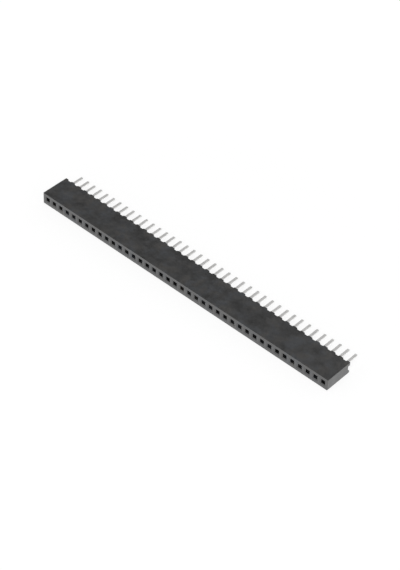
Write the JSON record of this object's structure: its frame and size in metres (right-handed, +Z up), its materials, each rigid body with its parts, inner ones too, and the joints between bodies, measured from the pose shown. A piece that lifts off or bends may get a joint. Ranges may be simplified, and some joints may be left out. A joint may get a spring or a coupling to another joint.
{
  "type": "female pin header strip",
  "caption": "Single-row female pin header strip with square lead-in sockets in a black moulded housing and thin solder tails, lying on its broad side.",
  "frame": {"origin": "middle of the outer box of housing and tails, on the surface that the strip lies on", "axes": "+X along the row of contacts, +Y the way the solder tails point, -Y the way the mating face looks, +Z up through the housing's thickness"},
  "size_m": [0.0512, 0.0068, 0.0018],
  "materials": {
    "housing_plastic": "black glass-filled moulding plastic, fine matt texture with a soft sheen",
    "contact_metal": "matt tin plating over copper-alloy strip"
  },
  "bodies": {
    "root": {"housing": "housing_plastic", "contact_01": "contact_metal", "contact_02": "contact_metal", "contact_03": "contact_metal", "contact_04": "contact_metal", "contact_05": "contact_metal", "contact_06": "contact_metal", "contact_07": "contact_metal", "contact_08": "contact_metal", "contact_09": "contact_metal", "contact_10": "contact_metal", "contact_11": "contact_metal", "contact_12": "contact_metal", "contact_13": "contact_metal", "contact_14": "contact_metal", "contact_15": "contact_metal", "contact_16": "contact_metal", "contact_17": "contact_metal", "contact_18": "contact_metal", "contact_19": "contact_metal", "contact_20": "contact_metal", "contact_21": "contact_metal", "contact_22": "contact_metal", "contact_23": "contact_metal", "contact_24": "contact_metal", "contact_25": "contact_metal", "contact_26": "contact_metal", "contact_27": "contact_metal", "contact_28": "contact_metal", "contact_29": "contact_metal", "contact_30": "contact_metal", "contact_31": "contact_metal", "contact_32": "contact_metal", "contact_33": "contact_metal", "contact_34": "contact_metal", "contact_35": "contact_metal", "contact_36": "contact_metal", "contact_37": "contact_metal", "contact_38": "contact_metal", "contact_39": "contact_metal", "contact_40": "contact_metal"}
  },
  "joints": []
}
